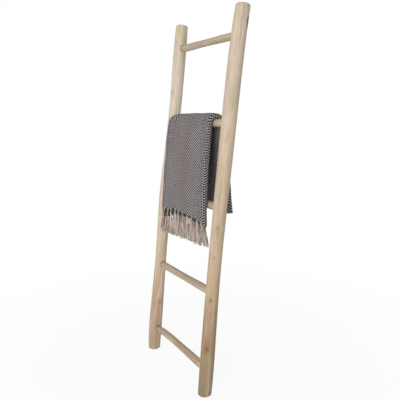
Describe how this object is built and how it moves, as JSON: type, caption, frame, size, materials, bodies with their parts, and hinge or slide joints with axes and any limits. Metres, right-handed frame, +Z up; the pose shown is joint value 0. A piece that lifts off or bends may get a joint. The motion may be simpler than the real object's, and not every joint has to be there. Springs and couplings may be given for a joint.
{
  "type": "blanket ladder",
  "caption": "Leaning rustic ladder of peeled round poles with tenoned rungs, and a fringed woven throw folded over an upper rung.",
  "frame": {"origin": "on the floor, under the middle of the poles' lean and midway between the poles", "axes": "+Z up, +X along the rungs to the right as seen from the front, +Y back towards the wall that the ladder leans on"},
  "size_m": [0.5246, 0.2162, 1.4958],
  "materials": {
    "rail_wood": "bare, peeled and dried, satin",
    "rung_wood": "bare, peeled and dried, satin",
    "screw_steel": "zinc plated",
    "throw_cloth": "black and pale twill weave",
    "fringe_yarn": "pale twisted yarn"
  },
  "bodies": {
    "ladder": {"left_rail": "rail_wood", "right_rail": "rail_wood", "rung_1": "rung_wood", "rung_2": "rung_wood", "rung_3": "rung_wood", "rung_4": "rung_wood", "rung_5": "rung_wood", "left_rail_screws": "screw_steel", "right_rail_screws": "screw_steel"},
    "throw": {"throw": "throw_cloth", "throw_fringe": "fringe_yarn", "throw_fringe_under": "fringe_yarn"}
  },
  "joints": [
    {"name": "throw_lift", "type": "slide", "parent": "ladder", "child": "throw", "axis": [0, 0.108, 0.9942], "range_m": [0, 0.24]}
  ]
}
